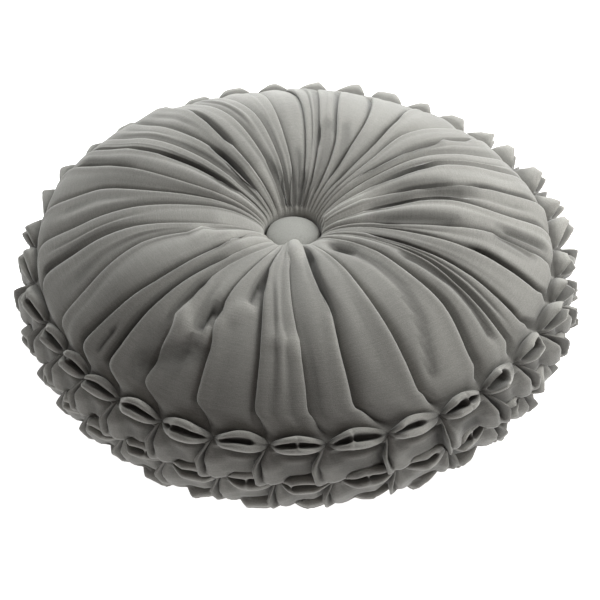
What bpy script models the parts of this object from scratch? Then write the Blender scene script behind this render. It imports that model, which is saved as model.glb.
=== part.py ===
# A round velvet cushion lying on its back: two gathered faces, each held down by a covered button,
# and a side wall smocked with three rows of knots, with a folded pocket between each pair of knots.

import math
from collections import namedtuple
from functools import partial

import bmesh
import bpy
from mathutils import Vector

# Driving sizes, in millimetres. MM turns them into metres.
MM = 0.001
PLEATS = 36
KNOT_ROWS = 3
FIRST_PLEAT_BEARING = -180.0
COLUMNS_PER_PLEAT = 4
BASE_CLEARANCE = 28.0
WALL_HALF_HEIGHT = 28.0
WALL_BULGE = 5.0
KNOT_RADIUS = 187.5
ROW_LEAN = 0.16
POCKET_TILT = 0.2
FRONT_CROWN = 40.0
FOLD_LINE_SHIFT = -0.27
FOLD_HALF_GAP = 0.04

# Shares of a pleat's height at the fold's top, at the cloth under it and on its flat.
FOLD_TOP = 0.5
FOLD_UNDER = -0.6
FOLD_FLAT = 0.2
FLAT_SHIFT = 0.6

# The covered buttons.
BUTTON_RADIUS = 19.0
BUTTON_RIM_RISE = 10.0
BUTTON_EDGE = 5.0
BUTTON_DOME = 5.5
BUTTON_STEPS = 24
SEAT_GAP = 0.3
BACK_BUTTON_RIM_DROP = 11.0

# Heights are above the floor that the cushion lies on.
LOWER_KNOTS = BASE_CLEARANCE
MIDDLE_KNOTS = LOWER_KNOTS + WALL_HALF_HEIGHT
UPPER_KNOTS = MIDDLE_KNOTS + WALL_HALF_HEIGHT
FRONT_SEAT = UPPER_KNOTS + BUTTON_RIM_RISE - BUTTON_EDGE - SEAT_GAP
BACK_SEAT = LOWER_KNOTS - BACK_BUTTON_RIM_DROP + BUTTON_EDGE + SEAT_GAP

# How far each stretch of knots has drifted round the ring, in degrees, against an even spacing.
Drift = namedtuple("Drift", "bearing shift")
DRIFTS = (
    Drift(-180, 1.0),
    Drift(-157, 6.0),
    Drift(-128, 3.4),
    Drift(-98, 5.4),
    Drift(-70, 9.2),
    Drift(-38, 10.6),
    Drift(-10, 7.4),
    Drift(20, 6.6),
    Drift(45, 4.0),
    Drift(62, 1.6),
    Drift(100, -0.5),
    Drift(140, -0.5),
)

# Rings of a gathered face, from the button outwards. height is a share of the crown, pleat is the
# height of a fold line's step in millimetres, and line is how far the line has moved to its shift.
FaceRing = namedtuple("FaceRing", "radius height pleat line")
FRONT_RINGS = (
    FaceRing(20.3, None, 0.0, 0.0),
    FaceRing(21.3, 0.31, 0.6, 0.2),
    FaceRing(27.0, 0.47, 1.6, 0.4),
    FaceRing(38.0, 0.67, 2.6, 0.6),
    FaceRing(56.0, 0.85, 4.6, 0.9),
    FaceRing(82.0, 0.97, 6.0, 1.0),
    FaceRing(110.0, 1.0, 7.0, 1.0),
    FaceRing(137.0, 0.89, 7.5, 1.0),
    FaceRing(157.0, 0.69, 8.0, 1.0),
    FaceRing(171.5, 0.47, 8.0, 1.0),
    FaceRing(181.5, 0.27, 6.0, 0.8),
)
# On the back, height is a share of the clearance, and the rings at 0 rest on the floor.
BACK_RINGS = (
    FaceRing(181.0, 0.62, 5.5, 0.8),
    FaceRing(171.0, 0.34, 6.0, 1.0),
    FaceRing(157.0, 0.12, 3.4, 1.0),
    FaceRing(143.0, 0.0, 0.0, 1.0),
    FaceRing(66.0, 0.0, 0.0, 0.8),
    FaceRing(46.0, 0.10, 1.6, 0.6),
    FaceRing(30.0, 0.30, 1.6, 0.4),
    FaceRing(21.3, 0.52, 0.6, 0.2),
    FaceRing(20.3, None, 0.0, 0.0),
)

# One step across the smocking: along is the distance down the wall from the row's centre and out is
# the height above the knots, each at the knot, a quarter of a pitch away and half way between knots.
# spread is where the quarter column stands, in pitches.
Step = namedtuple(
    "Step", "along_knot along_quarter along_half out_knot out_quarter out_half spread"
)
POCKET_STEPS = (
    Step(-2.4, -9.0, -10.5, 0.4, 2.0, 2.5, 0.25),
    Step(-1.1, -4.8, -6.0, 0.8, 10.0, 13.0, 0.26),
    Step(0.0, 0.0, 0.0, 0.0, 4.0, 6.0, 0.25),
    Step(1.1, 4.8, 6.0, 0.8, 9.0, 12.0, 0.24),
    Step(2.4, 7.6, 9.0, 0.6, 4.0, 4.6, 0.22),
)
PANEL_STEPS = (
    Step(-6.4, -4.6, -3.0, 2.0, 8.5, 4.6, 0.13),
    Step(0.0, 0.0, 0.0, 5.0, 11.0, 4.8, 0.12),
    Step(6.4, 4.6, 3.0, 2.0, 8.5, 4.6, 0.13),
)


def drifted(turns):
    """The bearing in radians of a place counted in pleats round the ring."""
    even = (turns * 360.0 / PLEATS) % 360.0 + FIRST_PLEAT_BEARING
    closing = DRIFTS[0]._replace(bearing=DRIFTS[0].bearing + 360)
    for first, second in zip(DRIFTS, DRIFTS[1:] + (closing,)):
        if first.bearing <= even <= second.bearing:
            share = (even - first.bearing) / (second.bearing - first.bearing)
            eased = share * share * (3 - 2 * share)
            return math.radians(even + first.shift + (second.shift - first.shift) * eased)
    return math.radians(even)


def fold_side(turns):
    """Which side of a fold line lies on top: the folds turn away from the front middle."""
    bearing = math.degrees(drifted(turns))
    return 1 if -87 < bearing < 96 else -1


def at(turns, radius, height):
    """A point in metres from a place round the ring, a radius and a height in millimetres."""
    bearing = drifted(turns)
    return Vector((radius * math.cos(bearing), radius * math.sin(bearing), height)) * MM


def face_point(ring, column, facing):
    """A point of a gathered face. Two of the four columns make the step of a knife pleat."""
    pleat, place = divmod(column, COLUMNS_PER_PLEAT)
    if place == COLUMNS_PER_PLEAT - 1:
        pleat, place = pleat + 1, -1
    line = FOLD_LINE_SHIFT * ring.line
    if place == 0:
        turns = line + FOLD_HALF_GAP
        share = FOLD_TOP if fold_side(pleat) < 0 else FOLD_UNDER
    elif place == -1:
        turns = line - FOLD_HALF_GAP
        share = FOLD_UNDER if fold_side(pleat) < 0 else FOLD_TOP
    else:
        turns = place / COLUMNS_PER_PLEAT + line * FLAT_SHIFT
        share = FOLD_FLAT
    step = share * ring.pleat
    sideways = (ring.radius / KNOT_RADIUS) ** 4
    radius = ring.radius + step * sideways
    if ring.height is None:
        height = FRONT_SEAT if facing > 0 else BACK_SEAT
    elif facing > 0:
        height = UPPER_KNOTS + FRONT_CROWN * ring.height + step * (1 - sideways / 2)
    else:
        height = BASE_CLEARANCE * ring.height - step * (1 - sideways / 2)
    return at(pleat + turns, radius, max(height, 0.0))


def wall_point(row, along, out, turns):
    """A point of the smocked wall, which bulges as an arc through the three rows of knots."""
    curve = (WALL_HALF_HEIGHT**2 + WALL_BULGE**2) / (2 * WALL_BULGE)
    angle = math.asin(WALL_HALF_HEIGHT / curve) * (1 - row) - along / curve
    tilt = angle + POCKET_TILT * (1 - row)
    radius = KNOT_RADIUS + WALL_BULGE - curve + curve * math.cos(angle) + out * math.cos(tilt)
    height = MIDDLE_KNOTS + curve * math.sin(angle) + out * math.sin(tilt)
    return at(turns + ROW_LEAN * row, radius, height)


def smocked_point(step, row, column):
    """A point of one step across the smocking, at one of the four columns of a pleat."""
    pleat, place = divmod(column, COLUMNS_PER_PLEAT)
    along = (step.along_knot, step.along_quarter, step.along_half, step.along_quarter)[place]
    out = (step.out_knot, step.out_quarter, step.out_half, step.out_quarter)[place]
    turns = (0.0, step.spread, 0.5, 1 - step.spread)[place]
    return wall_point(row, along, out, pleat + turns)


def cushion_rings():
    """Functions that place one ring's point for a column, from the front seat to the back seat."""
    rings = [partial(face_point, ring, facing=1) for ring in FRONT_RINGS]
    for row in range(KNOT_ROWS):
        first = 0 if row == 0 else 1
        last = None if row == KNOT_ROWS - 1 else -1
        rings += [partial(smocked_point, step, row) for step in POCKET_STEPS[first:last]]
        if row < KNOT_ROWS - 1:
            rings += [partial(smocked_point, step, row + 0.5) for step in PANEL_STEPS]
    rings += [partial(face_point, ring, facing=-1) for ring in BACK_RINGS]
    return rings


def build_cover(name):
    """The filled cover: a sheet of rings and columns, closed round the cushion and at both seats."""
    rings = cushion_rings()
    columns = PLEATS * COLUMNS_PER_PLEAT
    shape = bmesh.new()
    bmesh.ops.create_grid(shape, x_segments=columns, y_segments=len(rings) - 1, size=1.0)
    for vertex in shape.verts:
        column = round((vertex.co.x + 1) / 2 * columns)
        ring = round((vertex.co.y + 1) / 2 * (len(rings) - 1))
        vertex.co = rings[ring](column=column % columns)
    bmesh.ops.remove_doubles(shape, verts=shape.verts, dist=1e-7)
    bmesh.ops.holes_fill(shape, edges=shape.edges, sides=0)
    bmesh.ops.recalc_face_normals(shape, faces=shape.faces)
    middle = [
        (max(v.co[i] for v in shape.verts) + min(v.co[i] for v in shape.verts)) / 2 for i in (0, 1)
    ]
    bmesh.ops.translate(shape, verts=shape.verts, vec=(-middle[0], -middle[1], 0))
    mesh = bpy.data.meshes.new(name)
    shape.to_mesh(mesh)
    shape.free()
    return bpy.data.objects.new(name, mesh)


def build_button(name, rim_height, facing):
    """A covered button: a flat-backed disc with a domed front, turned from its profile."""
    dome = [(BUTTON_RADIUS * math.sin(a), BUTTON_DOME * math.cos(a)) for a in quarter_turn(5)]
    edge = [(BUTTON_RADIUS - 0.8, -BUTTON_EDGE + 0.8), (BUTTON_RADIUS - 2.4, -BUTTON_EDGE)]
    outline = dome + edge + [(0.0, -BUTTON_EDGE)]
    shape = bmesh.new()
    points = [shape.verts.new(Vector((r, 0, h)) * MM) for r, h in outline]
    edges = [shape.edges.new(pair) for pair in zip(points, points[1:])]
    bmesh.ops.spin(
        shape,
        geom=points + edges,
        axis=(0, 0, 1),
        cent=(0, 0, 0),
        steps=BUTTON_STEPS,
        angle=math.tau,
        use_merge=True,
    )
    bmesh.ops.remove_doubles(shape, verts=shape.verts, dist=1e-6)
    if facing < 0:
        bmesh.ops.scale(shape, vec=(1, 1, -1), verts=shape.verts)
    bmesh.ops.recalc_face_normals(shape, faces=shape.faces)
    mesh = bpy.data.meshes.new(name)
    shape.to_mesh(mesh)
    shape.free()
    button = bpy.data.objects.new(name, mesh)
    button.location.z = rim_height * MM
    return button


def quarter_turn(steps):
    """Angles from the pole to the rim."""
    return [math.pi / 2 * i / steps for i in range(steps + 1)]


def velvet(name, colour, roughness):
    """A Principled material for pile cloth."""
    material = bpy.data.materials.new(name)
    material.use_nodes = True
    shader = material.node_tree.nodes["Principled BSDF"]
    shader.inputs["Base Color"].default_value = (*colour, 1.0)
    shader.inputs["Roughness"].default_value = roughness
    shader.inputs["Metallic"].default_value = 0.0
    return material


def main():
    for old in list(bpy.data.objects):
        bpy.data.objects.remove(old, do_unlink=True)
    cushion = bpy.data.collections.new("round_cushion")
    bpy.context.scene.collection.children.link(cushion)
    cloth = velvet("grey_velvet", (0.27, 0.27, 0.25), 0.9)
    button_cloth = velvet("button_velvet", (0.29, 0.29, 0.27), 0.9)
    cover = build_cover("cover")
    cover.data.materials.append(cloth)
    front = build_button("front_button", UPPER_KNOTS + BUTTON_RIM_RISE, 1)
    back = build_button("back_button", LOWER_KNOTS - BACK_BUTTON_RIM_DROP, -1)
    for piece in (front, back):
        piece.data.materials.append(button_cloth)
    for piece in (cover, front, back):
        cushion.objects.link(piece)
        for face in piece.data.polygons:
            face.use_smooth = True
        piece.data.set_sharp_from_angle(angle=math.radians(50))


main()
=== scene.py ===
# Round velvet cushion: pleated faces, covered buttons and a smocked side wall, lying on its back
import math
import random

import bmesh
import bpy
import numpy as np
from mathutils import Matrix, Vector


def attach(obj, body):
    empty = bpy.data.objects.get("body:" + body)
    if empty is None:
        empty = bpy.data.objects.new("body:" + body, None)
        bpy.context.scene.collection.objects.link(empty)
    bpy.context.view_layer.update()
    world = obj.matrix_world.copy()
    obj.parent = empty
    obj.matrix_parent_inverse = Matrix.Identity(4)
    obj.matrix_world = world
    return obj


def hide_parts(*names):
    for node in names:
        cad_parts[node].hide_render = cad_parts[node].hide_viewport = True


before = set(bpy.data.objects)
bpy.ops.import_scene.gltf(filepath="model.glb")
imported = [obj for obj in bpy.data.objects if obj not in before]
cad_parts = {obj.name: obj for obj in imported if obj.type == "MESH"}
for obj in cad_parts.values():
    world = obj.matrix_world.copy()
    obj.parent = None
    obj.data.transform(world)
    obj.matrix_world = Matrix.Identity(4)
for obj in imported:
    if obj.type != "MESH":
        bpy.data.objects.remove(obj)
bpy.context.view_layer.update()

mm = 0.001

# Camera first: the photo looks down on the face from the front
cameraView = {
    "place": (0.0, -0.757, 0.7374),    # metres
    "lookAlong": (0.00477, 0.7304, -0.6830),
    "lens": 83.0,                      # mm on a 36 mm sensor
}

# The whole cover, in millimetres and pleats. A bearing is in degrees round from the right
coverMake = {
    "pleats": 36,
    "columns": 10,                       # mesh columns in a pleat, before they are made finer
    "knotRadii": (190.8, 194.8, 186.3),  # upper, middle and lower row of knots
    "lowerKnots": 28.0,                  # height of the lowest row over the floor
    "rowStep": 28.0,                     # height from one row of knots to the next
    "rowLean": 0.16,                     # how far each row of knots leans round, in pleats
    "leastHeight": 0.4,                  # of any point of the wall over the floor
    "columnWidth": 1.9,                  # cloth in a column of the finished mesh, for the ribs
    "backRings": 11,                     # rings of the flat back, of which every other one is left out
    "seed": 11,
}
upperKnots = coverMake["lowerKnots"] + 2 * coverMake["rowStep"]

# How the knots have drifted round the ring: bearing and shift in degrees
knotDrift = (
    (-180, 1.0), (-157, 6.0), (-128, 3.4), (-98, 5.4), (-70, 9.2), (-38, 10.6),
    (-10, 7.4), (20, 6.6), (45, 4.0), (62, 1.6), (100, -0.5), (140, -0.5), (180, 1.0),
)

# Profile of the front face from the button out: radius, height above the upper knots
frontProfile = (
    (20.6, 6.0), (21.2, 14.0), (26.5, 20.6), (38.0, 28.0), (56.0, 34.6), (82.0, 39.0),
    (110.0, 40.0), (138.0, 35.6), (159.2, 27.6), (173.0, 19.6), (180.8, 13.8),
)
# The back face is pressed flat by its own weight: radius, height above the floor
backProfile = (
    (182.2, 17.4), (174.0, 9.5), (159.5, 3.4), (144.0, 0.0), (66.0, 0.0),
    (46.0, 2.8), (30.0, 8.4), (21.6, 14.6), (20.6, 22.0),
)

# Where the edge of a face follows the habits of the pockets beside it, in mm and sections of the profile
rimMake = {
    "sagFrom": 105, "sagOver": 65,       # radius, and the distance over which it comes in
    "drawnFrom": 110, "drawnOver": 60,
    "bulgeSection": 8,
    "bulgeOut": 6.5, "bulgeUp": 1.6, "bulgeTuck": 2.4,
    "backFoldsFrom": 143, "dimpleFoldsTo": 66,  # radii between which the back is pressed smooth
}

# One fold, from three columns before its edge to three after: side shift in pleats, lift in fold heights,
# then what is added to each where the fold gapes
foldShape = (
    (-0.20, 0.06, -0.10, -0.16), (-0.055, -0.30, -0.15, -1.05), (0.13, -1.25, -0.12, -0.65),
    (0.0, -0.30, 0.02, 0.20), (0.03, 0.38, 0.04, 0.10), (0.15, 0.52, 0.02, 0.0), (0.31, 0.40, 0.0, 0.0),
)
# Fold height in mm against radius
foldHeights = (
    (20.6, 0.6), (27.0, 1.9), (38.0, 3.1), (56.0, 4.3), (82.0, 5.2), (110.0, 5.6), (157.0, 5.8),
    (177.5, 4.6), (186.0, 2.6),
)
foldMake = {
    "width": 0.78,             # room that a fold needs beside the next one, in pleats
    "tightest": 0.25,          # share of its width that a crowded fold keeps
    "overlapSide": (-87, 96),  # bearings between which the right-hand panel lies under
    "outerTo": 120,            # radius in mm down to which the outer depth holds,
    "innerOver": 40,           # and the distance over which the inner one takes over
    "straightFrom": 176,       # radius from which a line turns back to its knot, in mm
}

# Where each pleat's fold line runs: its shift from its knot, in pleats, at five radii, how deep it is
# over the outer and the inner half, and how far it gapes
lineRadii = (175.0, 140.0, 105.0, 70.0, 40.0)
foldLines = (
    (-0.80, -0.90, -0.70, -0.80, -1.00, 1.2, 1.0, 0.5),
    (-0.60, -0.65, -0.83, -1.02, -1.30, 0.8, 0.7, 0.3),
    (-0.75, -0.88, -0.92, -0.70, -0.40, 1.0, 0.8, 0.3),
    (-0.58, -0.95, -1.26, -1.16, -1.10, 0.8, 0.6, 0.1),
    (-0.50, -0.38, -0.17, -0.10, -0.40, 1.8, 2.2, 0.6),
    (-0.57, -0.62, -0.47, -0.10, 0.30, 1.4, 1.2, 0.2),
    (-0.58, -0.65, -0.80, -0.60, 0.10, 0.8, 0.5, 0.0),
    (-0.45, -0.55, -0.75, -0.55, -0.20, 0.9, 0.9, 0.1),
    (-0.32, -0.38, -0.58, -0.85, -0.65, 0.9, 0.8, 0.1),
    (-0.30, -0.40, -0.60, -0.75, -0.90, 0.6, 0.5, 0.0),
    (-0.50, -0.53, -0.48, -0.65, -0.50, 1.2, 1.3, 0.2),
    (-0.30, -0.30, -0.33, -0.32, -0.55, 1.3, 1.1, 0.2),
    (0.10, 0.42, 0.50, 0.65, 0.40, 1.2, 1.3, 0.4),
    (0.05, 0.20, 0.40, 0.45, 0.35, 1.4, 1.2, 0.4),
    (-0.35, -0.25, -0.18, -0.15, -0.20, 1.6, 1.2, 0.5),
    (-0.25, -0.32, -0.40, -0.35, -0.45, 1.6, 0.8, 0.7),
    (0.00, -0.05, -0.45, -0.80, -0.85, 1.0, 0.9, 0.6),
    (0.15, 0.00, 0.25, 0.10, -0.40, 1.2, 1.2, 0.7),
    (0.10, 0.05, 0.10, 0.10, -0.10, 1.7, 1.3, 0.9),
    (0.20, 0.30, 0.50, 0.35, 0.10, 0.5, 1.4, 0.5),
    (0.00, 0.00, 0.15, 0.05, 0.00, 0.4, 1.4, 0.4),
    (0.00, -0.15, -0.20, -0.25, -0.10, 1.4, 1.7, 0.6),
    (-0.20, -0.20, -0.10, -0.40, -0.40, 0.8, 0.7, 0.1),
    (0.40, -0.02, -0.45, -0.75, -0.70, 1.1, 0.7, 0.2),
    (0.70, 0.25, -0.28, -0.63, -0.90, 0.8, 0.6, 0.2),
    (0.60, 0.40, 0.00, -0.70, -1.10, 0.6, 0.5, 0.2),
    (0.30, 0.10, -0.20, -0.65, -1.10, 0.3, 0.4, 0.2),
    (0.20, -0.15, -0.50, -0.85, -1.20, 0.5, 0.5, 0.1),
    (0.10, -0.10, -0.30, -0.60, -1.00, 0.3, 0.4, 0.2),
    (0.10, -0.10, -0.50, -0.80, -1.10, 0.3, 0.3, 0.1),
    (-0.10, -0.30, -0.60, -0.85, -1.10, 0.3, 0.4, 0.2),
    (-0.40, -0.55, -0.55, -0.60, -0.70, 1.5, 1.0, 0.3),
    (-0.40, -0.40, -0.50, -0.65, -0.50, 0.5, 1.3, 0.5),
    (-0.50, -0.60, -0.70, -0.80, -0.70, 0.4, 0.4, 0.1),
    (-0.95, -0.90, -0.92, -1.00, -0.90, 1.3, 1.2, 0.6),
    (-1.20, -0.95, -0.70, -0.55, -0.60, 1.9, 1.6, 0.4),
)

# Short creases and tucks on the face: path in pleats and radius, half width and height in mm (below 0 sinks)
creases = (
    (((26.0, 64), (26.75, 64)), 3.0, -1.2),
    (((26.6, 61), (26.5, 50), (26.2, 36)), 2.4, -2.0),
    (((5.35, 132), (5.7, 143), (6.15, 142), (6.32, 131)), 5.0, 3.4),
    (((6.05, 134), (6.12, 118)), 3.6, -5.5),
    (((6.75, 117), (6.98, 112)), 4.6, 3.0),
    (((7.02, 108), (7.05, 95), (7.12, 82)), 2.8, -4.2),
    (((7.9, 133), (8.45, 138)), 4.2, 2.4),
    (((1.85, 68), (2.4, 69), (2.7, 60), (3.4, 53)), 4.4, 3.0),
    (((2.6, 62), (3.1, 55), (3.6, 50)), 3.0, -3.0),
    (((11.15, 172), (11.62, 140), (11.9, 112), (11.95, 85), (11.6, 52)), 2.2, -2.4),
    (((11.75, 57), (11.55, 48)), 3.4, -5.0),
    (((12.8, 172), (12.95, 155), (13.08, 135), (13.12, 113), (13.15, 95)), 2.4, -3.2),
    (((4.0, 176), (4.0, 163)), 1.8, -2.8),
    (((1.1, 176), (1.12, 156)), 2.0, -2.4),
    (((5.1, 136), (5.14, 104)), 2.6, -2.6),
    (((5.2, 170), (5.9, 158), (6.2, 150)), 6.0, -2.4),
    (((32.95, 105), (32.9, 75), (33.3, 52)), 4.0, -1.6),
    (((31.4, 82), (31.4, 66), (31.8, 46)), 4.0, -3.0),
    (((16.45, 176), (16.35, 150)), 3.2, -4.0),
    (((17.68, 120), (17.64, 98)), 6.0, -3.0),
    (((15.8, 168), (15.85, 148)), 3.4, -2.6),
    (((25.2, 94), (25.5, 90), (25.4, 74)), 3.4, -1.5),
    (((28.8, 54), (28.3, 34)), 3.2, -2.2),
    (((18.25, 24), (18.2, 38), (18.15, 52)), 5.0, 2.6),
    (((8.45, 22), (8.5, 36), (8.55, 52)), 5.5, 4.6),
    (((9.6, 30), (9.55, 55)), 2.4, -1.4),
    (((26.5, 26), (26.3, 36)), 8.0, -2.0),
    (((17.4, 84), (17.0, 62)), 4.6, -3.0),
    (((18.2, 176), (18.15, 155), (18.15, 132)), 4.0, -5.0),
    (((18.3, 108), (18.35, 75)), 5.0, -3.0),
    (((15.95, 112), (15.8, 85), (15.6, 66)), 5.0, -3.6),
    (((20.9, 158), (20.85, 144)), 4.0, -3.2),
    (((20.7, 125), (20.72, 103)), 4.0, -3.4),
    (((20.72, 95), (20.7, 70)), 3.0, -2.2),
    (((19.6, 108), (19.35, 72)), 3.4, -3.0),
    (((33.05, 130), (33.0, 62)), 4.0, -1.0),
    (((33.6, 168), (34.0, 130)), 4.2, -2.4),
    (((14.8, 176), (14.85, 155), (14.9, 132)), 3.2, -4.5),
    (((3.42, 174), (3.5, 150), (3.7, 120), (3.85, 80), (3.85, 68)), 2.6, -3.4),
    (((4.36, 174), (4.38, 140), (4.5, 105), (4.75, 74)), 2.4, -2.4),
    (((30.4, 130), (30.45, 88)), 3.0, -2.6),
    (((25.3, 98), (24.7, 68), (24.2, 38)), 3.0, -1.4),
    (((24.4, 98), (23.6, 72), (23.1, 52)), 2.8, -1.4),
    (((22.8, 135), (22.5, 92), (22.2, 45)), 2.2, -1.2),
    (((9.42, 110), (9.45, 75), (9.5, 45)), 2.4, -2.4),
    (((13.75, 170), (13.8, 120), (13.85, 70)), 2.0, -2.6),
)

# Across a horizontal pocket at its middle: distance along the wall in half heights, distance out in reaches
pocketAcross = (
    (0.98, 0.38), (1.05, 0.86), (0.78, 1.07), (0.34, 1.01), (0.26, 0.26), (0.0, -0.10),
    (-0.26, 0.26), (-0.34, 1.01), (-0.78, 1.07), (-1.05, 0.86), (-0.98, 0.38),
)
# The same where the two lips are held together
pocketShut = (
    (1.02, 0.42), (0.96, 0.90), (0.58, 1.04), (0.22, 1.02), (0.10, 1.00), (0.0, 0.98),
    (-0.10, 1.00), (-0.22, 1.02), (-0.58, 1.04), (-0.96, 0.90), (-1.02, 0.42),
)
# Painted shade across a pocket, from its root to the bottom of its slit: below 0 painted highlight on the lips,
# above 0 painted shade in the slit
pocketPaintedShade = (0.10, -0.12, -0.20, -0.16, 0.35, 0.6)
# Across an upright pocket, from its slit outwards: side distance and distance out in mm, and share of the lean,
# on the side it leans to and on the other side
uprightNear = (
    (0.0, 0.0, 0.88), (1.1, 11.6, 0.98), (2.9, 11.2, 1.0), (2.6, 2.0, 0.92), (9.2, 2.0, 0.35), (16.3, 3.2, 0.0),
)
uprightFar = (
    (0.0, 0.0, 0.88), (2.0, 9.3, 0.93), (4.8, 9.7, 0.82), (8.8, 6.8, 0.5), (12.4, 4.2, 0.2), (16.3, 3.4, 0.0),
)
uprightMake = {
    "reach": 11.5,        # mm that the tables above stand out
    "edge": (1.2, 3.4),   # mm from the row of knots to the panel, at a knot and more at mid pocket
    "opensOver": 0.42,    # share of the height over which it stands up below its knot,
    "closesOver": 0.14,   # and over which it goes in again above the next one
    "bottomFill": 10.5,   # mm by which the lips meet at its foot
    "fillFrom": 0.62, "fillOver": 0.16,
    "widest": 1.1,        # mm at most that a slit opens more than the tables say
    "panelTuck": 1.4,     # mm that a panel goes in behind the pockets
}

# How the pockets hang round the ring: sideways lean of the upright pockets in mm, reach in mm, degrees that
# the upper pockets turn up, how wide the slits gape, how far the face bulges over the knots, sag of the
# face's rim in mm, and how far the whole side is drawn in, in mm
habitColumns = ("bearing", "lean", "reach", "tilt", "gape", "bulge", "sag", "drawn")
pocketHabit = (
    (-180, -4.0, 12.5, 14.0, 0.9, 0.85, 0.0, 6.5), (-150, -6.0, 11.5, 20.0, 1.0, 0.85, 0.0, 6.0),
    (-125, -7.5, 10.0, 28.0, 1.0, 0.45, 0.0, 3.5), (-108, -7.5, 9.5, 31.0, 1.0, 0.0, 0.0, 0.5),
    (-66, -7.0, 9.5, 32.0, 1.0, 0.0, 0.0, 0.5), (-52, 6.0, 12.0, 29.0, 1.8, 0.0, 0.0, 2.0),
    (-30, 7.0, 14.5, 25.0, 2.3, 0.3, 0.0, 3.0), (10, 6.0, 14.6, 13.0, 2.1, 0.7, 1.0, 3.4),
    (42, 5.0, 14.0, -12.0, 1.2, 0.3, 3.0, 3.4), (58, 5.0, 12.5, -16.0, 1.0, 0.0, 3.0, 3.0),
    (78, 3.0, 11.0, -20.0, 0.9, 0.0, 2.2, 2.0), (102, 1.0, 8.5, -24.0, 0.9, 0.0, 2.6, 3.5),
    (118, 0.0, 8.5, -30.0, 0.9, 0.3, 2.0, 4.5), (132, 0.0, 8.5, -34.0, 0.9, 0.8, 1.0, 4.5),
    (150, -3.0, 11.0, -28.0, 0.9, 1.0, 0.0, 5.5), (166, -3.5, 12.5, -8.0, 0.9, 0.9, 0.0, 6.5),
    (180, -4.0, 12.5, 14.0, 0.9, 0.85, 0.0, 6.5),
)


def between(table, x, column=1, smooth=False):
    # Value of a table's column at x
    if x <= table[0][0]:
        return table[0][column]
    for low, high in zip(table, table[1:]):
        if x <= high[0]:
            share = (x - low[0]) / (high[0] - low[0])
            if smooth:
                share = ease(share)
            return low[column] + (high[column] - low[column]) * share
    return table[-1][column]


def ease(x):
    x = max(0.0, min(1.0, x))
    return x * x * (3 - 2 * x)


def habitAt(bearing, name, smooth=False):
    return between(pocketHabit, bearing, habitColumns.index(name), smooth)


def splineThrough(points, s):
    # Smooth point at section s of a list of points, each a tuple
    last = len(points) - 1
    i = min(int(s), last - 1)
    t = s - i
    p0, p1, p2, p3 = (points[max(0, min(last, j))] for j in (i - 1, i, i + 1, i + 2))
    return tuple(
        0.5 * (2 * b + (c - a) * t + (2 * a - 5 * b + 4 * c - d) * t * t + (3 * b - a - 3 * c + d) * t ** 3)
        for a, b, c, d in zip(p0, p1, p2, p3)
    )


def degreesOf(turns):
    even = (turns * 360.0 / coverMake["pleats"]) % 360.0 - 180.0
    return even + between(knotDrift, even, smooth=True)


def spot(turns, radius, height):
    bearing = math.radians(degreesOf(turns))
    return Vector((radius * math.cos(bearing), radius * math.sin(bearing), height)) * mm


def lineAt(k, radius):
    # Place of fold line k in pleats, by a smooth curve through its five radii
    shifts = foldLines[k % coverMake["pleats"]][:len(lineRadii)]
    s = 0.0
    for i, (outer, inner) in enumerate(zip(lineRadii, lineRadii[1:])):
        if radius <= outer:
            s = i + (outer - max(radius, inner)) / (outer - inner)
    shift = splineThrough([(v,) for v in shifts], min(s, 3.999))[0]
    return k + shift * (1 - 0.6 * ease((radius - foldMake["straightFrom"]) / 9))


def foldPoint(k, i, radius):
    # Side shift in pleats and lift in mm, i columns from the edge of fold line k
    outerDepth, innerDepth, gape = foldLines[k % coverMake["pleats"]][len(lineRadii):]
    line = lineAt(k, radius)
    side = 1 if foldMake["overlapSide"][0] < degreesOf(k) < foldMake["overlapSide"][1] else -1
    shift, lift, moreShift, moreLift = foldShape[i + 3] if side < 0 else foldShape[3 - i]
    inner = ease((foldMake["outerTo"] - radius) / foldMake["innerOver"])
    depth = outerDepth + (innerDepth - outerDepth) * inner
    shift = (shift + moreShift * gape) * -side
    room = min(line - lineAt(k - 1, radius), lineAt(k + 1, radius) - line)
    tight = max(foldMake["tightest"], min(1.0, room / foldMake["width"]))
    height = between(foldHeights, radius) * depth * (0.4 + 0.6 * tight)
    return line + shift * tight, (lift + moreLift * gape) * height


def faceTurnsAndLift(habits, column, radius):
    # Three columns on each side of a fold's edge are the fold; the four between two folds are the smooth panel
    perPleat = coverMake["columns"]
    k = (column + 5) // perPleat
    i = column - perPleat * k
    if abs(i) <= 3:
        return foldPoint(k, i, radius)
    before = k if i > 0 else k - 1
    share = (column - perPleat * before - 3) / 4
    t0, h0 = foldPoint(before, 3, radius)
    t1, h1 = foldPoint(before + 1, -3, radius)
    habit = habits[before % len(habits)]
    bulge = habit["puff"] * min(1.0, t1 - t0) * 4 * share * (1 - share)
    fade = ease((radius - habit["ridgeFrom"]) / 30) * ease((180 - radius) / 25)
    bulge += habit["ridge"] * fade * math.sin(2 * math.pi * (share + habit["ridgeAt"]))
    return t0 + (t1 - t0) * share, h0 + (h1 - h0) * share + bulge


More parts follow.
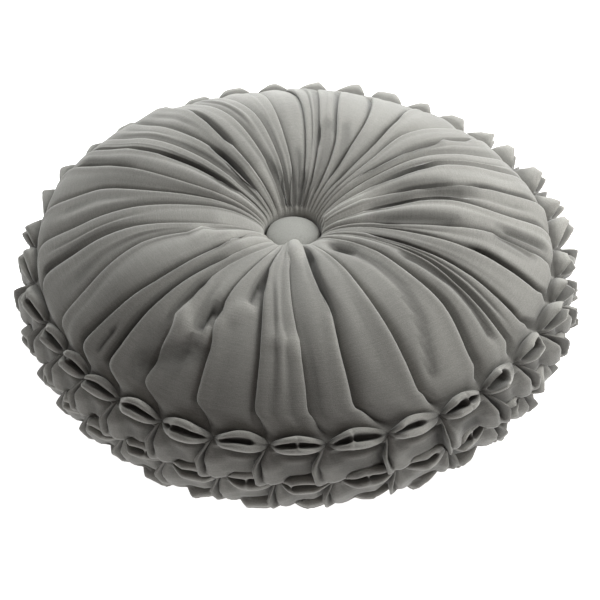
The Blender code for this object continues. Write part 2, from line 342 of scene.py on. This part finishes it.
def facePoint(habits, column, s, facing):
    # The point of a column at section s of the front (facing 1) or back (facing -1) profile
    radius, height = splineThrough(frontProfile if facing > 0 else backProfile, s)
    bearing = degreesOf(column / coverMake["columns"])
    if facing > 0:
        sag = habitAt(bearing, "sag", smooth=True)
        height -= sag * ease((radius - rimMake["sagFrom"]) / rimMake["sagOver"])
    drawn = habitAt(bearing, "drawn", smooth=True)
    radius -= drawn * ease((radius - rimMake["drawnFrom"]) / rimMake["drawnOver"])
    past = s - rimMake["bulgeSection"]
    if facing > 0 and past > 0:
        bulging = habitAt(bearing, "bulge", smooth=True)
        radius += bulging * rimMake["bulgeOut"] * ease(past / 2)
        rise = rimMake["bulgeUp"] * math.sin(math.pi * past / 2)
        height += bulging * (rise - rimMake["bulgeTuck"] * ease(past - 1))
    turns, lift = faceTurnsAndLift(habits, column, radius)
    sideways = (radius / coverMake["knotRadii"][0]) ** 4
    if facing > 0:
        return spot(turns, radius + lift * sideways, upperKnots + height + lift * (1 - sideways / 2))
    inside = 0.35 * between(foldHeights, radius)
    free = ease((radius - rimMake["backFoldsFrom"]) / 30) + ease((rimMake["dimpleFoldsTo"] - radius) / 20)
    lift = min(lift - inside, 0.0) * min(1.0, free)
    return spot(turns, radius + lift * sideways, max(0.0, height - lift * (1 - sideways / 2)))


def wallPoint(row, along, out, turns, tiltUp=0.0):
    # Row 0 is the upper knots; along runs up the wall and out stands off it, both in mm
    r0, r1, r2 = coverMake["knotRadii"]
    step = coverMake["rowStep"]
    curve = (r0 + r2) / 2 - r1
    slope = r1 - r0 - curve
    radius = r0 + slope * row + curve * row * row
    lean = math.atan2(slope + 2 * curve * row, step)
    tilt = lean + math.radians(tiltUp)
    radius += -along * math.sin(tilt) + out * math.cos(tilt)
    height = upperKnots - step * row + along * math.cos(tilt) + out * math.sin(tilt)
    turns += coverMake["rowLean"] * row
    radius -= habitAt(degreesOf(turns), "drawn", smooth=True)
    return spot(turns, radius, max(height, coverMake["leastHeight"]))


def makeHabits(rng):
    # Each panel's own small habits: how it fills out between its folds, and one soft ridge along it
    return [{
        "puff": rng.uniform(0.4, 2.6),
        "ridge": rng.choice((0.0, 0.3, 0.6, 1.0)),
        "ridgeAt": rng.uniform(0.0, 1.0),
        "ridgeFrom": rng.uniform(50, 110),
    } for k in range(coverMake["pleats"])]


# How the pockets differ: ranges that each one draws from, and bearings where a habit changes
pocketMake = {
    "rowReach": (1.0, 0.95, 0.85),    # how far the pockets of each row stand out, beside the habit table
    "rowTilt": (0.0, -9.0, -38.0),    # degrees that the pockets of a row turn up, beside the habit table
    "rightShut": (-125, 110),         # behind these bearings the lips are held together at the right,
    "leftShutFrom": -56,              # from here round to 110 at the left or not at all, else at the middle
    "lateCornersTo": 30,              # from -56 to here a pocket's first corner comes later
    "pointed": (-140, 135),           # behind these the pockets end in a point
    "gape": (0.75, 1.2),              # shares of the habit table's values
    "reach": (0.86, 1.1),
    "half": (4.8, 5.9),               # mm from a slit to the root of the lip
    "tilt": 7,                        # degrees, either way
    "lean": 2.0,                      # mm, either way
    "skew": 0.08,                     # pleats, either way
    "drop": 0.22,                     # at most, of the reach, from the first corner to the last
    "belly": 1.6,                     # mm at most that a panel fills out
    "bar": (0.085, 0.15),             # half width of the stitch that holds two lips, and how far it draws them
    "shutEnds": (0.07, 0.14),         # where a slit starts beside a knot, and the distance over which it opens
    "lens": 0.72,                     # below 1 a pocket is blunter than a lens seen from the front
    "crest": 0.8,                     # and its sides are rounder than straight lines seen from above
    "lipStep": 0.2,                   # mm between the stations of a pocket at a knot
}


def makePockets(rng):
    # Three rows of pockets: how each one gapes, leans and closes
    make = pocketMake
    rows = []
    for row in range(3):
        pockets = []
        for k in range(coverMake["pleats"]):
            bearing = degreesOf(k + coverMake["rowLean"] * row)
            slits = ("bar", "bar", "bar", "left")
            if not make["rightShut"][0] <= bearing <= make["rightShut"][1]:
                slits = ("right", "right", "right", "bar")
            elif bearing > make["leftShutFrom"]:
                slits = ("left", "left", "open", "open")
            late = make["leftShutFrom"] < bearing < make["lateCornersTo"]
            pointed = not make["pointed"][0] <= bearing <= make["pointed"][1]
            corner = rng.choice((2, 3, 3, 4)) + pointed
            pockets.append({
                "slit": rng.choice(slits),
                "gape": habitAt(bearing, "gape") * rng.uniform(*make["gape"]),
                "corner": (corner + late) / coverMake["columns"],
                "farCorner": min(8, corner + rng.choice((1, 2, 3, 4)) * (0.4 if pointed else 1))
                / coverMake["columns"],
                "skew": rng.uniform(-make["skew"], make["skew"]),
                "drop": rng.uniform(0.0, make["drop"]),
                "reach": habitAt(bearing, "reach") * make["rowReach"][row] * rng.uniform(*make["reach"]),
                "half": rng.uniform(*make["half"]),
                "tilt": habitAt(bearing, "tilt") + make["rowTilt"][row]
                + rng.uniform(-make["tilt"], make["tilt"]),
                "bar": rng.choice((0.3, 0.4, 0.4, 0.5, 0.6)),
                "lean": habitAt(bearing, "lean") + rng.uniform(-make["lean"], make["lean"]),
                "closed": rng.choice((0.0, 0.0, 0.2, 0.6)),
                "belly": rng.uniform(0.0, make["belly"]),
            })
        rows.append(pockets)
    return rows


def crestAt(pocket, t):
    # Outline of a pocket from knot to knot: straight sides up to two soft corners
    if t <= pocket["corner"]:
        return t / pocket["corner"]
    if t <= pocket["farCorner"]:
        return 1 - pocket["drop"] * (t - pocket["corner"]) / (pocket["farCorner"] - pocket["corner"])
    return (1 - pocket["drop"]) * (1 - t) / (1 - pocket["farCorner"])


def openAt(pocket, t):
    # 1 where the slit stands open, 0 where the lips are held together
    if pocket["slit"] == "bar":
        return 1.0 if abs(t - pocket["bar"]) > 0.02 else 0.0
    if pocket["slit"] == "left":
        return 1.0 if t < max(0.65, pocket["farCorner"]) + 0.02 else 0.0
    if pocket["slit"] == "right":
        return 1.0 if t > min(0.3, pocket["corner"]) - 0.02 else 0.0
    return 1.0


def pocketPoint(pockets, row, station, column):
    # The stations run over the upper lip, down into the slit and out over the lower lip
    perPleat = coverMake["columns"]
    k, i = divmod(column, perPleat)
    t = i / perPleat
    pocket = pockets[row][k % coverMake["pleats"]]
    if pocket["slit"] == "bar":
        barHalf, barPull = pocketMake["bar"]
        away = t - pocket["bar"]
        pull = math.copysign(barHalf, away) * math.exp(-(away / barPull) ** 2) * (away != 0)
        t -= pull * math.sin(math.pi * t)
    shutTo, openOver = pocketMake["shutEnds"]
    opened = openAt(pocket, t) * ease((min(t, 1 - t) - shutTo) / openOver)
    along, out = (a * opened + b * (1 - opened) for a, b in zip(pocketAcross[station], pocketShut[station]))
    across = 5 - station
    if abs(across) < 3:
        along *= pocket["gape"]
    lens = math.sin(math.pi * t) ** pocketMake["lens"]
    crest = crestAt(pocket, t) ** pocketMake["crest"]
    turns = k + t + pocket["skew"] * math.sin(math.pi * t)
    along = along * pocket["half"] * lens + pocketMake["lipStep"] * across
    return wallPoint(row, along, out * pocket["reach"] * crest, turns, pocket["tilt"] * lens)


def basePoint(pockets, row, side, column):
    # Behind a lip of the row's pockets, above them (side 1) or below (side -1)
    k, i = divmod(column, coverMake["columns"])
    t = i / coverMake["columns"]
    pocket = pockets[row][k % coverMake["pleats"]]
    lens = math.sin(math.pi * t) ** 0.6
    return wallPoint(row, side * (1.0 + 0.6 * pocket["half"] * lens), -1.6 * lens, k + t, pocket["tilt"] * lens)


def panelPoint(pockets, row, share, column):
    # Between two rows of knots: an upright pocket on the knots' column, then the smooth panel
    perPleat = coverMake["columns"]
    k = (column + 5) // perPleat
    i = column - perPleat * k
    pocket = pockets[row][k % coverMake["pleats"]]
    profile = uprightNear if i * pocket["lean"] > 0 else uprightFar
    side, out, leaning = profile[abs(i)]
    lens = math.sin(math.pi * abs(i) / perPleat) ** 0.6
    edge = uprightMake["edge"][0] + uprightMake["edge"][1] * lens
    step = coverMake["rowStep"]
    v = (edge + (step - 2 * edge) * share) / step
    standing = min(1.0, v / uprightMake["opensOver"]) ** 0.85
    beak = standing * max(0.0, min(1.0, (1.0 - v) / uprightMake["closesOver"])) ** 0.6
    if i == 0:
        foot = ease((v - uprightMake["fillFrom"]) / uprightMake["fillOver"])
        out += uprightMake["bottomFill"] * max(pocket["closed"], foot)
    if abs(i) <= 3:
        out *= pocket["reach"] / uprightMake["reach"]
        side *= 0.3 + 0.7 * beak
    if 0 < abs(i) <= 2:
        wider = min(uprightMake["widest"], 1.9 * pocket["gape"] - 1.9)
        side += wider * math.sin(math.pi * min(1.0, v / 0.9)) * (1.0 if abs(i) == 1 else 0.8)
    tuck = min(1.0, share * 5, (1 - share) * 5)
    out = out * beak if abs(i) <= 3 else out * tuck - uprightMake["panelTuck"] * (1 - tuck)
    if abs(i) == 5:
        out += pocket["belly"] * beak
    pitch = 2 * math.pi * coverMake["knotRadii"][1] / coverMake["pleats"]
    turns = k + (math.copysign(side, i) * (i != 0) + pocket["lean"] * leaning * beak) / pitch
    return wallPoint(row + v, 0.0, out, turns)


throatMake = {
    "hollow": 1.8,      # mm that the cloth sinks between a face and its pockets
    "backHollow": 0.4,  # share of that at the back
    "pinch": 2.4,       # mm that a knot draws it in
    "pinchWidth": 0.11,
}


def throatPoint(habits, pockets, row, share, column):
    # Between the last ring of a face and the pockets beside it
    facing = 1 if row == 0 else -1
    section = len(frontProfile) - 1 if facing > 0 else 0
    face = facePoint(habits, column, section, facing)
    point = face.lerp(basePoint(pockets, row, facing, column), share)
    t = (column % coverMake["columns"]) / coverMake["columns"]
    hollow = -throatMake["hollow"] * math.sin(math.pi * t) * 4 * share * (1 - share)
    hollow *= 1 if facing > 0 else throatMake["backHollow"]
    pinch = throatMake["pinch"] * math.exp(-(min(t, 1 - t) / throatMake["pinchWidth"]) ** 2)
    pinch *= math.sin(math.pi * min(1.0, share * 1.15))
    inward = Vector((-point.x, -point.y, -0.09 * facing)).normalized()
    return point + inward * (hollow + pinch) * mm


# Painted shade and painted highlight that the velvet's colour reads: 0 on a pocket's crest (painted highlight), a
# third on smooth cloth and 1 deep down (painted shade)
shadeMake = {
    "near": (3, 1),        # columns and rings on each side that a point is set against,
    "broad": (8, 2),       # and once more with more of them
    "level": 1.2,          # mm that bring smooth cloth to a third
    "span": 3.6,           # mm from a crest to deep down
    "faceLeast": 0.17,     # the face's own crests stay above this, so they get less painted highlight
    "seatLessPaintedShade": -0.16,     # painted paler at the foot of the dimple, beside the button, taking painted shade away there
    "creaseShade": 0.16,   # painted shade for each mm that a crease sinks, painted highlight for each mm that one rises
}


def coverRings(habits, pockets):
    # Every ring from the front seat to the back seat, as a function of the column, and its painted shade offset:
    # paler round the button and on the pockets' lips, darker in their slits
    rings, ringPaintedShades = [], {}
    for s in (0, 1, 1.7, 2.5, 3.3, 4.1, 4.9, 5.5, 6.05, 6.6, 7.15, 7.7, 8.2, 8.7, 9.2, 9.6, 10):
        # painted paler round the button, where the dimple would fall into shade
        ringPaintedShades[len(rings)] = shadeMake["seatLessPaintedShade"] * (1 - ease((s - 1.2) / 2.4))
        rings.append(lambda c, s=s: facePoint(habits, c, s, 1))
    for share in (0.5, 1.0):
        rings.append(lambda c, share=share: throatPoint(habits, pockets, 0, share, c))
    for row in range(3):
        for station in range(len(pocketAcross)):
            ringPaintedShades[len(rings)] = pocketPaintedShade[min(station, 10 - station)]
            rings.append(lambda c, row=row, station=station: pocketPoint(pockets, row, station, c))
        if row < 2:
            for share in (0.0, 0.2, 0.4, 0.6, 0.8, 1.0):
                rings.append(lambda c, row=row, share=share: panelPoint(pockets, row, share, c))
    rings.append(lambda c: throatPoint(habits, pockets, 2, 1.0, c))
    for s in (0, 1, 3, 4, 5.5, 8):
        rings.append(lambda c, s=s: facePoint(habits, c, s, -1))
    return rings, [ringPaintedShades.get(i, 0.0) for i in range(len(rings))]


def finer(points, around):
    # Halves the spacing along the first axis; the new points lie on a smooth curve through the old ones
    near, far = 0.56, 0.06  # weights of the two points on each side of a new one
    if around:
        ahead = np.roll(points, -1, 0)
        new = near * (points + ahead) - far * (np.roll(points, 1, 0) + np.roll(points, -2, 0))
        return np.stack((points, new), 1).reshape((-1,) + points.shape[1:])
    padded = np.concatenate((points[:1], points, points[-1:]))
    new = near * (padded[1:-2] + padded[2:-1]) - far * (padded[:-3] + padded[3:])
    both = np.stack((points[:-1], new), 1).reshape((-1,) + points.shape[1:])
    return np.concatenate((both, points[-1:]))


def hollowness(cage, columns, rings):
    # How far each point lies below the average of its neighbourhood, in mm along its normal
    mean = sum(np.roll(cage, i, 1) for i in range(-columns, columns + 1)) / (2 * columns + 1)
    padded = np.concatenate((mean[:1],) * rings + (mean,) + (mean[-1:],) * rings)
    mean = sum(padded[i:i + len(cage)] for i in range(2 * rings + 1)) / (2 * rings + 1)
    along = np.roll(cage, -1, 1) - np.roll(cage, 1, 1)
    normal = np.cross(along, np.gradient(cage, axis=0))
    normal /= np.linalg.norm(normal, axis=2, keepdims=True) + 1e-9
    outward = np.sign((normal * cage).sum(2).mean())
    return ((mean - cage) * normal).sum(2) * outward * 1000


# Hollowness in mm, plus each ring's offset, made into painted shade between 0 and 1
def asShade(hollow, paintedShade):
    least = np.where(paintedShade < 0, 0.0, shadeMake["faceLeast"])
    return np.clip((hollow + shadeMake["level"]) / shadeMake["span"] + paintedShade, least, 1.0)


def buildCover():
    rng = random.Random(coverMake["seed"])
    habits = makeHabits(rng)
    pockets = makePockets(rng)
    rings, ringPaintedShades = coverRings(habits, pockets)
    columns = coverMake["pleats"] * coverMake["columns"]
    cage = np.array([[tuple(place(column)) for column in range(columns)] for place in rings])
    print("cover cage:", len(rings), "rings of", columns)
    cage = finer(cage, False)
    cage = finer(cage.transpose(1, 0, 2), True).transpose(1, 0, 2)
    columns *= 2
    cage[:, :, 2] = np.maximum(cage[:, :, 2], 0.0)
    ringPaintedShades = np.interp(np.arange(len(cage)) / 2, np.arange(len(ringPaintedShades)), ringPaintedShades)
    # painted shade from the mesh's own hollows: darker deep down, painted highlight on the crests
    hollow = 0.5 * hollowness(cage, *shadeMake["near"]) + 0.5 * hollowness(cage, *shadeMake["broad"])
    hollow = asShade(hollow, ringPaintedShades[:, None])
    kept = [i for i in range(len(cage)) if i < len(cage) - coverMake["backRings"] or i % 2 == 0]
    cage, hollow = cage[kept], hollow[kept]
    steps = np.linalg.norm(np.diff(cage, axis=0), axis=2).mean(axis=1)
    length = np.concatenate(((0.0,), np.cumsum(steps)))
    bm = bmesh.new()
    bmesh.ops.create_grid(bm, x_segments=columns, y_segments=len(cage) - 1, size=1.0)
    cloth = bm.loops.layers.uv.new("cloth")
    # the painted shade is kept on the mesh as its 'hollow' attribute
    shade = bm.verts.layers.float.new("hollow")
    for v in bm.verts:
        column = round((v.co.x + 1) / 2 * columns)
        ring = round((v.co.y + 1) / 2 * (len(cage) - 1))
        v.co = cage[ring][column % columns]
        v[shade] = hollow[ring][column % columns]
        for loop in v.link_loops:
            loop[cloth].uv = (column * coverMake["columnWidth"] * mm, length[ring])
    bmesh.ops.remove_doubles(bm, verts=bm.verts, dist=1e-7)
    bmesh.ops.recalc_face_normals(bm, faces=bm.faces)
    mesh = bpy.data.meshes.new("velvetCover")
    bm.to_mesh(mesh)
    bm.free()
    pressCreases(mesh)
    closeSeats(mesh)
    cover = bpy.data.objects.new("velvetCover", mesh)
    bpy.context.scene.collection.objects.link(cover)
    print("cover:", sum(len(face.vertices) - 2 for face in mesh.polygons), "triangles")
    return cover


creaseZone = {
    "radii": (24, 185),  # mm
    "above": 4,          # mm over the upper knots
}


def pressCreases(mesh):
    # Short creases are pressed into the smooth mesh, along its normals; the painted shade grows darker along sunken
    # ones and paler along raised ones
    count = len(mesh.vertices)
    points = np.empty(count * 3)
    mesh.vertices.foreach_get("co", points)
    points = points.reshape(-1, 3) * 1000
    normals = np.empty(count * 3)
    mesh.vertices.foreach_get("normal", normals)
    normals = normals.reshape(-1, 3)
    reach = np.hypot(points[:, 0], points[:, 1])
    onTop = points[:, 2] > upperKnots + creaseZone["above"]
    onTop &= (reach > creaseZone["radii"][0]) & (reach < creaseZone["radii"][1])
    lift = np.zeros(count)
    for path, width, height in creases:
        flat = []
        for turns, radius in path:
            bearing = math.radians(degreesOf(turns))
            flat.append((radius * math.cos(bearing), radius * math.sin(bearing)))
        best = np.full(count, 1e9)
        for (x0, y0), (x1, y1) in zip(flat, flat[1:]):
            x, y = points[:, 0] - x0, points[:, 1] - y0
            runX, runY = x1 - x0, y1 - y0
            s = np.clip((x * runX + y * runY) / math.hypot(runX, runY) ** 2, 0, 1)
            best = np.minimum(best, np.hypot(x - s * runX, y - s * runY))
        lift += np.where(onTop, height * np.exp(-(best / width) ** 2), 0.0)
    # painted shade: darker where a crease sinks, painted highlight where one rises
    shade = mesh.attributes["hollow"].data
    paintedShade = np.empty(count)
    shade.foreach_get("value", paintedShade)
    shade.foreach_set("value", np.clip(paintedShade - lift * shadeMake["creaseShade"], 0.0, 1.0))
    points += normals * lift[:, None]
    mesh.vertices.foreach_set("co", (points / 1000).ravel())
    mesh.update()


def closeSeats(mesh):
    # The rings under the buttons are closed last, each with one pole
    bm = bmesh.new()
    bm.from_mesh(mesh)
    seats = bmesh.ops.holes_fill(bm, edges=[e for e in bm.edges if e.is_boundary], sides=0)["faces"]
    bmesh.ops.poke(bm, faces=seats)
    bmesh.ops.recalc_face_normals(bm, faces=bm.faces)
    for face in bm.faces:
        face.smooth = True
    bm.to_mesh(mesh)
    bm.free()


buttonMake = {
    "radius": 19.0,
    "crown": 5.5,         # height over the widest line
    "crownSteps": 12,
    "shell": ((18.8, -2.5), (17.6, -4.6), (15.5, -5.0), (0.0, -5.0)),  # radius and height, in under the cloth
    "sides": 72,
    "overKnots": 10.0,    # height of the front button's widest line over the upper knots
    "underKnots": 11.0,   # depth of the back button's below the lower knots
}


def buildButton(name, rimHeight, facing):
    # A shallow dome with its edge rolled under, spun round the upright axis
    steps = buttonMake["crownSteps"]
    angles = [math.pi / 2 * i / steps for i in range(steps + 1)]
    outline = [(buttonMake["radius"] * math.sin(a), buttonMake["crown"] * math.cos(a)) for a in angles]
    outline += buttonMake["shell"]
    bm = bmesh.new()
    verts = [bm.verts.new((r * mm, 0, (rimHeight + facing * h) * mm)) for r, h in outline]
    edges = [bm.edges.new(pair) for pair in zip(verts, verts[1:])]
    bmesh.ops.spin(bm, geom=verts + edges, axis=(0, 0, 1), cent=(0, 0, 0), steps=buttonMake["sides"],
                   angle=math.tau, use_merge=True)
    bmesh.ops.remove_doubles(bm, verts=bm.verts, dist=1e-6)
    bmesh.ops.recalc_face_normals(bm, faces=bm.faces)
    mesh = bpy.data.meshes.new(name)
    bm.to_mesh(mesh)
    bm.free()
    mesh.polygons.foreach_set("use_smooth", [True] * len(mesh.polygons))
    button = bpy.data.objects.new(name, mesh)
    bpy.context.scene.collection.objects.link(button)
    print(name + ":", sum(len(face.vertices) - 2 for face in mesh.polygons), "triangles")
    return button


def linear(hexColour):
    # sRGB hex to the linear colour that the shader takes
    parts = [int(hexColour[i:i + 2], 16) / 255 for i in (1, 3, 5)]
    return tuple(c / 12.92 if c <= 0.04045 else ((c + 0.055) / 1.055) ** 2.4 for c in parts) + (1.0,)


def addNode(tree, kind, settings=None, inputs=None, links=None):
    # Adds a node with its settings, socket values and incoming links
    node = tree.nodes.new(kind)
    for key, value in (settings or {}).items():
        setattr(node, key, value)
    for key, value in (inputs or {}).items():
        node.inputs[key].default_value = value
    for key, (other, socket) in (links or {}).items():
        tree.links.new(other.outputs[socket], node.inputs[key])
    return node


velvetLook = {
    "light": "#84837f",       # nap brushed towards the eye
    "dark": "#747370",        # nap brushed away
    "patch": 45.0,            # mm across a brushed patch
    "crest": 1.60,            # painted highlight: brightness on the pockets' crests
    "level": 0.95,            # on smooth cloth
    "paintedValleyShade": 0.38,           # and painted shade deep between them
    "levelShades": (0.30, 0.42),  # the shades between which the cloth is smooth
    "rib": (9.0, 0.9),        # mm along and across the fine ribs that run round the cushion
    "ribShade": 0.055,
    "ribBump": 0.2,
    "pile": 0.55,             # mm from tuft to tuft, coarser than the real 0.3 so that it shows
    "pileShade": 0.15,
    "pileBump": 0.4,
    "bumpHeight": 0.4,        # mm
    "roughness": 0.95,
    "specular": 0.12,
    "sheen": 0.38,            # the soft bright edge that the standing pile gives a fold
    "sheenRoughness": 0.4,
}
# The buttons get a paler copy of the velvet: partly their nap standing towards the light, partly painted light
# because they face up into it
litButtonLook = dict(velvetLook, light="#a1a19d", dark="#949490", level=1.0, crest=1.0)


def velvetMaterial(name, look):
    # Short-pile cotton velvet: matt, ribbed round the cushion, with painted highlight on the crests and painted
    # shade in the hollows
    material = bpy.data.materials.new(name)
    material.use_nodes = True
    tree = material.node_tree
    shader = tree.nodes["Principled BSDF"]
    place = addNode(tree, "ShaderNodeTexCoord")
    patches = addNode(tree, "ShaderNodeTexNoise", inputs={"Scale": 1000 / look["patch"], "Detail": 3.0},
                      links={"Vector": (place, "Object")})
    colour = addNode(tree, "ShaderNodeMix", settings={"data_type": "RGBA"},
                     inputs={6: linear(look["dark"]), 7: linear(look["light"])},
                     links={0: (patches, "Fac")})
    # painted shade and painted highlight: the 'hollow' shade mapped to crest, level and valley brightness
    hollow = addNode(tree, "ShaderNodeAttribute", settings={"attribute_name": "hollow"})
    depth = addNode(tree, "ShaderNodeValToRGB", links={"Fac": (hollow, "Fac")})
    ramp = depth.color_ramp
    ramp.elements[0].color = (1.0, 1.0, 1.0, 1.0)
    ramp.elements[1].color = (look["paintedValleyShade"] / look["crest"],) * 3 + (1.0,)
    for position in look["levelShades"]:
        ramp.elements.new(position).color = (look["level"] / look["crest"],) * 3 + (1.0,)
    along, across = look["rib"]
    stretch = addNode(tree, "ShaderNodeVectorMath", settings={"operation": "MULTIPLY"},
                      inputs={1: (1000 / along, 1000 / across, 1.0)}, links={0: (place, "UV")})
    ribs = addNode(tree, "ShaderNodeTexNoise", inputs={"Scale": 1.0, "Detail": 1.0},
                   links={"Vector": (stretch, "Vector")})
    pile = addNode(tree, "ShaderNodeTexNoise", inputs={"Scale": 1000 / look["pile"], "Detail": 2.0},
                   links={"Vector": (place, "Object")})
    shades = []
    for noise, shade in ((ribs, look["ribShade"]), (pile, look["pileShade"])):
        # a noise lies mostly between 0.3 and 0.7
        shades.append(addNode(tree, "ShaderNodeMapRange", inputs={1: 0.3, 2: 0.7, 3: 1 - shade, 4: 1 + shade},
                              links={0: (noise, "Fac")}))
    grain = addNode(tree, "ShaderNodeMath", settings={"operation": "MULTIPLY"},
                    links={0: (shades[0], "Result"), 1: (shades[1], "Result")})
    grain = addNode(tree, "ShaderNodeMath", settings={"operation": "MULTIPLY"}, inputs={1: look["crest"]},
                    links={0: (grain, "Value")})
    shaded = addNode(tree, "ShaderNodeVectorMath", settings={"operation": "MULTIPLY"},
                     links={0: (colour, 2), 1: (depth, "Color")})
    grained = addNode(tree, "ShaderNodeVectorMath", settings={"operation": "SCALE"},
                      links={"Vector": (shaded, "Vector"), "Scale": (grain, "Value")})
    tree.links.new(grained.outputs["Vector"], shader.inputs["Base Color"])
    shader.inputs["Roughness"].default_value = look["roughness"]
    shader.inputs["Specular IOR Level"].default_value = look["specular"]
    shader.inputs["Sheen Weight"].default_value = look["sheen"]
    shader.inputs["Sheen Roughness"].default_value = look["sheenRoughness"]
    depthOf = look["bumpHeight"] * mm
    ridges = addNode(tree, "ShaderNodeBump", inputs={"Strength": look["ribBump"], "Distance": depthOf},
                     links={"Height": (ribs, "Fac")})
    tufts = addNode(tree, "ShaderNodeBump", inputs={"Strength": look["pileBump"], "Distance": depthOf},
                    links={"Height": (pile, "Fac"), "Normal": (ridges, "Normal")})
    tree.links.new(tufts.outputs["Normal"], shader.inputs["Normal"])
    print("material:", name)
    return material


def dress(piece, material, node):
    # Each piece rides on the cushion's one body and stands for its solid
    piece.data.materials.append(material)
    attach(piece, "root")
    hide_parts(node)


# The photo's light comes from close by on the right, with weaker ones behind and a broad fill at the front
coolLight = (0.98, 1.0, 0.99)
plainLight = (0.995, 1.0, 0.98)
warmLight = (1.0, 0.90, 0.85)
# Degrees round from the right, degrees up, distance and size in metres, watts and colour
studioLights = (
    ("rightKey", 0.0, 49.4, 0.461, 0.30, 1.38, plainLight),
    ("backRim", 90.0, 33.7, 0.54, 0.30, 1.9, coolLight),
    ("backLeft", 135.0, 54.7, 0.61, 0.30, 1.05, coolLight),
    ("rightRim", 45.0, 35.3, 0.52, 0.30, 0.35, plainLight),
    ("leftSky", 150.0, 18.0, 2.2, 1.3, 14.0, plainLight),
    ("rightSky", 10.0, 18.0, 2.2, 1.3, 14.0, plainLight),
    ("frontFill", 270.0, 38.0, 2.2, 1.3, 3.6, warmLight),
)
studio = {
    "sky": 0.02,             # strength of the light from all round
    "floorHalf": 6.0,        # metres from the middle to a side
    "paper": 0.86,           # share of the light that it gives back
    "floorGlow": 0.95,       # burns the ground out to white, as on the photo
}


def buildFloor():
    # Matt white paper, which shows no edge and throws light back up under the pockets
    bm = bmesh.new()
    bmesh.ops.create_grid(bm, x_segments=1, y_segments=1, size=studio["floorHalf"])
    mesh = bpy.data.meshes.new("floor")
    bm.to_mesh(mesh)
    bm.free()
    floor = bpy.data.objects.new("floor", mesh)
    bpy.context.scene.collection.objects.link(floor)
    material = bpy.data.materials.new("matt white paper")
    material.use_nodes = True
    shader = material.node_tree.nodes["Principled BSDF"]
    shader.inputs["Base Color"].default_value = (studio["paper"],) * 3 + (1.0,)
    shader.inputs["Roughness"].default_value = 1.0
    shader.inputs["Specular IOR Level"].default_value = 0.0
    shader.inputs["Emission Color"].default_value = (1.0, 1.0, 1.0, 1.0)
    shader.inputs["Emission Strength"].default_value = studio["floorGlow"]
    floor.data.materials.append(material)


def addLights():
    for name, azimuth, elevation, distance, size, power, tint in studioLights:
        light = bpy.data.lights.new(name, "AREA")
        light.shape = "DISK"
        light.size = size
        light.energy = power
        light.color = tint
        turn, rise = math.radians(azimuth), math.radians(elevation)
        away = Vector((math.cos(turn) * math.cos(rise), math.sin(turn) * math.cos(rise), math.sin(rise)))
        lamp = bpy.data.objects.new(name, light)
        lamp.location = away * distance
        lamp.visible_camera = False
        lamp.rotation_euler = away.to_track_quat("Z", "Y").to_euler()
        bpy.context.scene.collection.objects.link(lamp)
    print("lights:", len(studioLights))


def addSky():
    world = bpy.data.worlds.new("studio")
    bpy.context.scene.world = world
    world.use_nodes = True
    background = world.node_tree.nodes["Background"]
    background.inputs["Color"].default_value = warmLight + (1.0,)
    background.inputs["Strength"].default_value = studio["sky"]


def addCamera():
    camera = bpy.data.cameras.new("camera")
    camera.lens = cameraView["lens"]
    camera.sensor_width = 36.0
    eye = bpy.data.objects.new("camera", camera)
    eye.location = cameraView["place"]
    eye.rotation_euler = Vector(cameraView["lookAlong"]).to_track_quat("-Z", "Y").to_euler()
    bpy.context.scene.collection.objects.link(eye)
    bpy.context.scene.camera = eye


addCamera()
cover = buildCover()
frontButton = buildButton("frontButton", upperKnots + buttonMake["overKnots"], 1)
backButton = buildButton("backButton", coverMake["lowerKnots"] - buttonMake["underKnots"], -1)
velvet = velvetMaterial("cotton velvet", velvetLook)
litButtonVelvet = velvetMaterial("cotton velvet on the buttons", litButtonLook)
dress(cover, velvet, "cover")
dress(frontButton, litButtonVelvet, "front_button")
dress(backButton, litButtonVelvet, "back_button")
buildFloor()
addSky()
addLights()
bpy.context.scene.view_settings.view_transform = "Standard"
